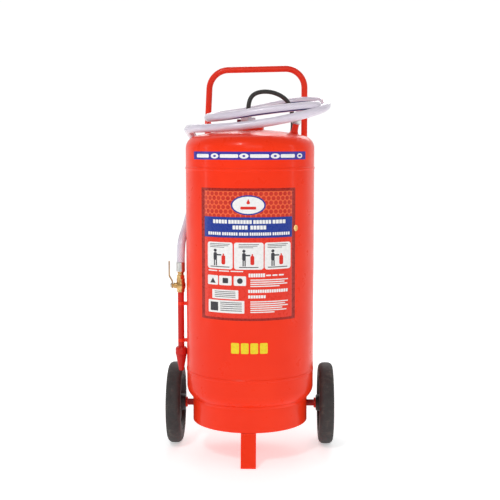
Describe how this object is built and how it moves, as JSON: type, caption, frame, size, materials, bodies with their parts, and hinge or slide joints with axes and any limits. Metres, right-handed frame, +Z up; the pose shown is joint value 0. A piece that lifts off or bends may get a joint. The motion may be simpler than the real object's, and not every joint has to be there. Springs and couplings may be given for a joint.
{
  "type": "wheeled fire extinguisher",
  "caption": "Wheeled dry-powder fire extinguisher: upright red tank on a skirt and two wheels, with a U handle, gas bottle, coiled clear hose and lance.",
  "frame": {"origin": "on the ground under the middle of the object's footprint box, hose left out", "axes": "+Z up, +X to the right seen from the front, +Y to the rear, where the handle and gas bottle are"},
  "size_m": [0.5084, 0.4875, 1.1643],
  "materials": {
    "red_enamel": "glossy sprayed enamel with slight orange peel",
    "tyre_rubber": "matte moulded solid rubber",
    "black_plastic": "moulded black plastic",
    "zinc_steel": "bright zinc plate",
    "cap_chrome": "polished plate",
    "dark_red_plastic": "dark red moulded cap",
    "brass": "machined brass",
    "gold_lever": "gold passivated steel lever",
    "white_plastic": "white fluoropolymer seat",
    "bottle_black": "black enamel",
    "gas_hose_rubber": "ribbed black rubber",
    "clear_hose": "translucent braided vinyl with a blue stripe",
    "vinyl_label": "printed vinyl sheet"
  },
  "bodies": {
    "root": {"axle": "red_enamel", "axle_collars": "red_enamel", "axle_plates": "red_enamel", "base_skirt": "red_enamel", "bottle_saddles": "red_enamel", "bottle_shelf": "red_enamel", "bottle_straps": "zinc_steel", "bottle_valve": "brass", "bottom_head": "red_enamel", "bottom_seam_weld": "red_enamel", "cap_gasket": "gas_hose_rubber", "discharge_hose": "clear_hose", "filler_cap": "cap_chrome", "filler_neck": "red_enamel", "front_foot": "red_enamel", "gas_bottle": "bottle_black", "gas_hose": "gas_hose_rubber", "gas_hose_bottle_nut": "zinc_steel", "gas_hose_cap_nut": "zinc_steel", "gas_inlet_tube": "zinc_steel", "handle_frame": "red_enamel", "handle_lugs": "red_enamel", "hose_clamp": "zinc_steel", "hose_ferrule": "zinc_steel", "hose_tail": "brass", "lance_clips": "red_enamel", "lance_pipe": "red_enamel", "left_hose_hook": "red_enamel", "main_label": "vinyl_label", "nozzle_collar": "red_enamel", "nozzle_cone": "red_enamel", "outlet_stub": "red_enamel", "packing_nut": "brass", "relief_valve_body": "brass", "right_hose_hook": "red_enamel", "shoulder_band": "vinyl_label", "siphon_tube": "zinc_steel", "skirt_weld": "red_enamel", "split_pins": "zinc_steel", "strap_bolts": "zinc_steel", "tank_shell": "red_enamel", "top_head": "red_enamel", "top_seam_weld": "red_enamel", "valve_body": "brass", "valve_seats": "white_plastic", "wheel_washers": "zinc_steel"},
    "left_wheel": {"left_tyre": "tyre_rubber", "left_rim": "black_plastic", "left_bush": "black_plastic"},
    "right_wheel": {"right_tyre": "tyre_rubber", "right_rim": "black_plastic", "right_bush": "black_plastic"},
    "shutoff_lever": {"valve_lever": "gold_lever", "lever_nut": "zinc_steel", "valve_stem": "brass", "valve_ball": "cap_chrome"},
    "gas_handwheel": {"bottle_handwheel": "black_plastic", "handwheel_nut": "zinc_steel", "bottle_spindle": "brass"},
    "relief_cap": {"relief_valve_cap": "dark_red_plastic"}
  },
  "joints": [
    {"name": "left_wheel_spin", "type": "hinge", "parent": "root", "child": "left_wheel", "pos_m": [-0.232, 0.0252, 0.125], "axis": [1, 0, 0], "continuous": true},
    {"name": "right_wheel_spin", "type": "hinge", "parent": "root", "child": "right_wheel", "pos_m": [0.232, 0.0252, 0.125], "axis": [1, 0, 0], "continuous": true},
    {"name": "shutoff_lever_turn", "type": "hinge", "parent": "root", "child": "shutoff_lever", "pos_m": [-0.208, -0.0498, 0.502], "axis": [1, 0, 0], "range_deg": [0, 90]},
    {"name": "gas_handwheel_turn", "type": "hinge", "parent": "root", "child": "gas_handwheel", "pos_m": [0.07, 0.1902, 0.937], "axis": [0, 0, 1], "range_deg": [0, 540]},
    {"name": "relief_cap_lift", "type": "slide", "parent": "root", "child": "relief_cap", "axis": [0, 0, 1], "range_m": [0, 0.003], "stiffness_N_per_m": 600}
  ]
}
